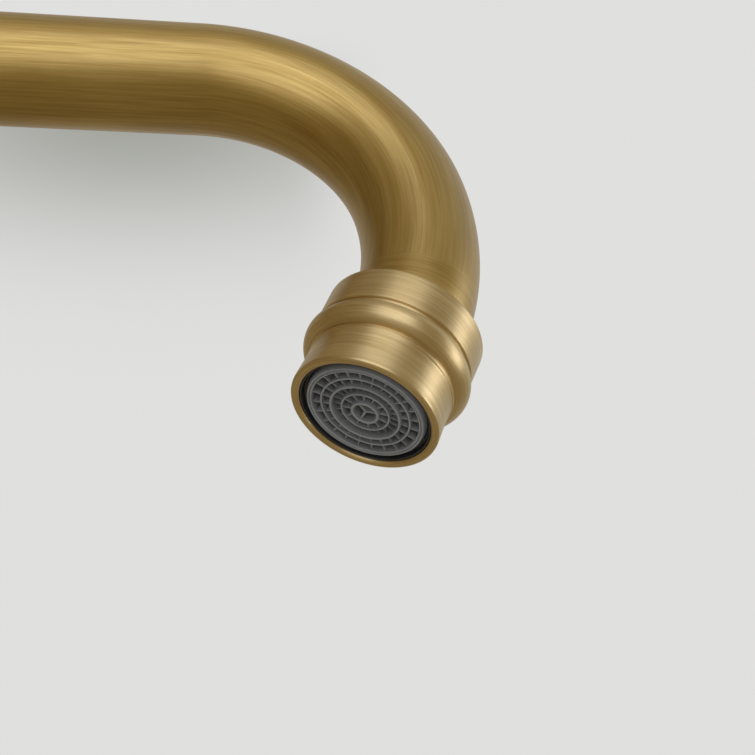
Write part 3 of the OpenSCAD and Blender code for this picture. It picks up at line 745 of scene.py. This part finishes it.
def dress_cad_nodes(looks):
    """Gives each CAD node the material of its slot."""
    for name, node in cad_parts.items():
        for slot in node.material_slots:
            kind = slot.material.name.split(".")[0]
            if kind in ("pale_brass", "brushed_brass", "raw_brass"):
                kind = kind + "_" + side_axis(name)
            if kind == "porcelain":
                kind = "porcelain_hot" if name.startswith("hot_") else "porcelain_cold"
            slot.material = looks[kind]


# ---------------------------------------------------------------- stage

# The view: its camera's turn and place from the middle of the outlet's rim, and its lens.
OUTLET = Vector((0.0, OUTLET_Y, RIM_Z))
VIEW_AZIMUTH_DEG = 82.002
VIEW_RISE_DEG = 38.609
VIEW_ROLL_DEG = 25.792
VIEW_OFFSET = Vector((-214.761, -29.490, -164.404)) * MM
LENS_MM = 76.291
SENSOR_MM = 36.0
CLIP_START = 0.01
WORLD_UP = Vector((0, 0, 1))


def view_axes():
    """The photographic view's right, up and forward directions."""
    az, rise, roll = (math.radians(v) for v in (VIEW_AZIMUTH_DEG, VIEW_RISE_DEG, VIEW_ROLL_DEG))
    forward = Vector((math.cos(rise) * math.sin(az), math.cos(rise) * math.cos(az), math.sin(rise)))
    level = forward.cross(WORLD_UP).normalized()
    above = level.cross(forward)
    right = level * math.cos(roll) + above * math.sin(roll)
    up = above * math.cos(roll) - level * math.sin(roll)
    return right, up, forward


RIGHT, UP, FORWARD = view_axes()

# The tint of the daylight.
COOL = (0.96, 0.985, 1.08)

# The surround that lights the object: nearest the photographer and beyond the object, with the weight
# of each direction in the change from one to the other, and where it starts and ends.
NEAR_SIDE = colour(0.32, 0.265, 0.170)
FAR_SIDE = colour(0.60, 0.60, 0.575)
LEAN_RIGHT, LEAN_UP = 0.5, 0.20
LEAN_RANGE = (0.1, 1.2)

# Each window: its direction, half width and half height as slopes, and brightness. Its edges are soft
# over this share of each half.
WINDOWS = (
    (UP * 0.66 - FORWARD * 0.75 - RIGHT * 0.03, 0.43, 0.80, 1.85),
    (RIGHT * 0.97 - UP * 0.06 - FORWARD * 0.06, 0.167, 0.667, 3.0),
)
WINDOW_SOFTNESS = 0.15

# The pale backdrop that the camera sees, and its soft shadow under the tube: its middle and spread
# (right and up, as sines of the angle off the view), and where it fades out upwards and to the right.
BACKDROP = colour(0.745, 0.745, 0.730)
SHADOW = colour(0.360, 0.367, 0.335)
SHADOW_MIDDLE = (-0.150, 0.165)
SHADOW_SPREAD = (0.18, 0.075)
FADE_UP = (0.215, 0.165)
FADE_RIGHT = (0.010, -0.060)

# The overhead soft box: direction and distance from the outlet, side and power.
OVERHEAD = Vector((0.3, -0.2, 1.0))
OVERHEAD_DISTANCE = 1.4
OVERHEAD_SIDE = 1.1
OVERHEAD_POWER = 6.0

FLOOR_HALF = 3.0
FLOOR_GAP = 0.5 * MM
FLOOR_LIGHT = colour(0.74, 0.74, 0.72)
FLOOR_DARK = colour(0.72, 0.72, 0.70)


def camera():
    """The camera at the photograph's angle."""
    data = bpy.data.cameras.new("view")
    data.lens = LENS_MM
    data.sensor_width = SENSOR_MM
    data.clip_start = CLIP_START
    made = bpy.data.objects.new("view", data)
    turn = Matrix((RIGHT, UP, -FORWARD)).transposed().to_4x4()
    made.matrix_world = Matrix.Translation(OUTLET + VIEW_OFFSET) @ turn
    bpy.context.scene.collection.objects.link(made)
    bpy.context.scene.camera = made


def overhead_light():
    """A square soft box above the object. It lights what scatters light, and metal doesn't mirror it."""
    data = bpy.data.lights.new("overhead", "AREA")
    data.shape = "RECTANGLE"
    data.size = OVERHEAD_SIDE
    data.size_y = OVERHEAD_SIDE
    data.energy = OVERHEAD_POWER
    data.color = COOL
    made = bpy.data.objects.new("overhead", data)
    way = OVERHEAD.normalized()
    made.location = OUTLET + way * OVERHEAD_DISTANCE
    across = WORLD_UP.cross(way).normalized()
    turn = Matrix((across, way.cross(across), way)).transposed()
    made.rotation_euler = turn.to_euler()
    made.visible_camera = False
    made.visible_glossy = False
    bpy.context.scene.collection.objects.link(made)


def window_glow(graph, way, direction, half_width, half_height):
    """How much of a soft-edged upright window, far off in a direction, is met along a way."""
    aim = direction.normalized()
    across = WORLD_UP.cross(aim).normalized()
    above = aim.cross(across)
    depth = graph.vector("DOT_PRODUCT", way, tuple(aim))
    near = graph.math("MAXIMUM", depth, 0.01)
    inside = graph.math("GREATER_THAN", depth, 0.0)
    for axis, half in ((across, half_width), (above, half_height)):
        off = graph.math("ABSOLUTE", graph.vector("DOT_PRODUCT", way, tuple(axis)))
        slope = graph.math("DIVIDE", off, near)
        reach = graph.smooth_step(slope, half * (1 + WINDOW_SOFTNESS), half * (1 - WINDOW_SOFTNESS))
        inside = graph.math("MULTIPLY", inside, reach)
    return inside


def surround_colour(graph, way, right, up, depth):
    """The light from each way: a gradient from the near side to the far side, and the windows."""
    lean = graph.math("ADD", depth, graph.math("MULTIPLY", right, LEAN_RIGHT))
    lean = graph.math("ADD", lean, graph.math("MULTIPLY", up, LEAN_UP))
    surround = graph.mix(graph.smooth_step(lean, *LEAN_RANGE), NEAR_SIDE, FAR_SIDE)
    for direction, half_width, half_height, strength in WINDOWS:
        glow = window_glow(graph, way, direction, half_width, half_height)
        surround = graph.mix(glow, surround, colour(*(strength * part for part in COOL)))
    return surround


def backdrop_colour(graph, right, up, depth):
    """The pale backdrop with its soft shadow, on the far side only."""
    squares = []
    for value, middle, spread in zip((right, up), SHADOW_MIDDLE, SHADOW_SPREAD):
        off = graph.math("DIVIDE", graph.math("SUBTRACT", value, middle), spread)
        squares.append(graph.math("MULTIPLY", off, off))
    distance = graph.math("ADD", *squares)
    shadow = graph.math("EXPONENT", graph.math("MULTIPLY", distance, -1.0))
    shadow = graph.math("MULTIPLY", shadow, graph.math("GREATER_THAN", depth, 0.0))
    shadow = graph.math("MULTIPLY", shadow, graph.smooth_step(up, *FADE_UP))
    shadow = graph.math("MULTIPLY", shadow, graph.smooth_step(right, *FADE_RIGHT))
    return graph.mix(shadow, BACKDROP, SHADOW)


def studio_world():
    """A pale studio: bright beyond the object, darker and warmer on the photographer's side."""
    world = bpy.data.worlds.new("studio")
    world.use_nodes = True
    tree = world.node_tree
    tree.nodes.clear()
    graph = Graph(tree)
    output = graph.node("ShaderNodeOutputWorld")
    way = graph.node("ShaderNodeTexCoord").outputs["Generated"]
    right, up, depth = (graph.vector("DOT_PRODUCT", way, tuple(axis)) for axis in (RIGHT, UP, FORWARD))
    surround = surround_colour(graph, way, right, up, depth)
    backdrop = backdrop_colour(graph, right, up, depth)
    is_camera = graph.node("ShaderNodeLightPath").outputs["Is Camera Ray"]
    background = graph.node("ShaderNodeBackground")
    graph.put(background.inputs["Color"], graph.mix(is_camera, surround, backdrop))
    tree.links.new(background.outputs[0], output.inputs["Surface"])
    bpy.context.scene.world = world


def floor():
    """A plain pale floor under the lowest point. Metal doesn't mirror it, and it blocks no light."""
    bm = bmesh.new()
    corners = []
    for x, y in ((-1, -1), (1, -1), (1, 1), (-1, 1)):
        corners.append(bm.verts.new((x * FLOOR_HALF, y * FLOOR_HALF, 0)))
    bm.faces.new(corners)
    lowest = CAD_BOX[0][2]
    made = new_object("floor", bm, (0, 0, lowest - FLOOR_GAP))
    paint = plain_material("floor_paint", FLOOR_LIGHT, FLOOR_DARK, 0.7, scale=8, grain=0.02)
    made.data.materials.append(paint)
    made.visible_glossy = False
    made.visible_shadow = False


# ---------------------------------------------------------------- build

UPRIGHT = ("Z", (0, 0, 0))
LEVEL = ("X", (0, 0, VALVE_Z))

# Each plain look: its two tones, roughness, and for metals how metallic it is and its scale.
PLAIN_LOOKS = {
    "steel": (colour(0.60, 0.61, 0.62), colour(0.50, 0.51, 0.53), 0.32, 1.0, 500),
    "mesh_steel": (colour(0.50, 0.51, 0.52), colour(0.40, 0.41, 0.42), 0.35, 1.0, 500),
    "black_rubber": (colour(0.03, 0.03, 0.03), colour(0.05, 0.05, 0.05), 0.7),
    "black_plastic": (colour(0.012, 0.012, 0.013), colour(0.02, 0.02, 0.022), 0.4),
    "grey_plastic": (colour(0.22, 0.225, 0.225), colour(0.185, 0.19, 0.195), 0.42),
    "white_plastic": (colour(0.78, 0.77, 0.73), colour(0.72, 0.71, 0.67), 0.4),
    "ceramic": (colour(0.86, 0.86, 0.84), colour(0.80, 0.80, 0.79), 0.22),
}

LOOKS = {
    "tube_brass": tube_brass(),
    "pale_brass_Z": turned_brass("pale_brass_upright", *UPRIGHT),
    "pale_brass_X": turned_brass("pale_brass_level", *LEVEL),
    "brushed_brass_Z": turned_brass("brushed_brass_upright", *UPRIGHT, TUBE_GOLD, TUBE_DEEP),
    "brushed_brass_X": turned_brass("brushed_brass_level", *LEVEL, TUBE_GOLD, TUBE_DEEP),
    "raw_brass_Z": turned_brass("raw_brass_upright", *UPRIGHT, RAW_BRASS),
    "raw_brass_X": turned_brass("raw_brass_level", *LEVEL, RAW_BRASS),
    "porcelain_hot": porcelain("porcelain_hot", colour(0.42, 0.035, 0.025)),
    "porcelain_cold": porcelain("porcelain_cold", colour(0.025, 0.085, 0.32)),
}
LOOKS.update({name: plain_material(name, *values) for name, values in PLAIN_LOOKS.items()})

dress_cad_nodes(LOOKS)
spout_tube(LOOKS["tube_brass"])
spout_nozzle(turned_brass("nozzle_brass", *UPRIGHT))
aerator_housing(LOOKS["black_plastic"])
aerator_grid(LOOKS["grey_plastic"])
aerator_screens(LOOKS["mesh_steel"])

studio_world()
floor()
camera()
overhead_light()
bpy.context.scene.view_settings.view_transform = "Standard"
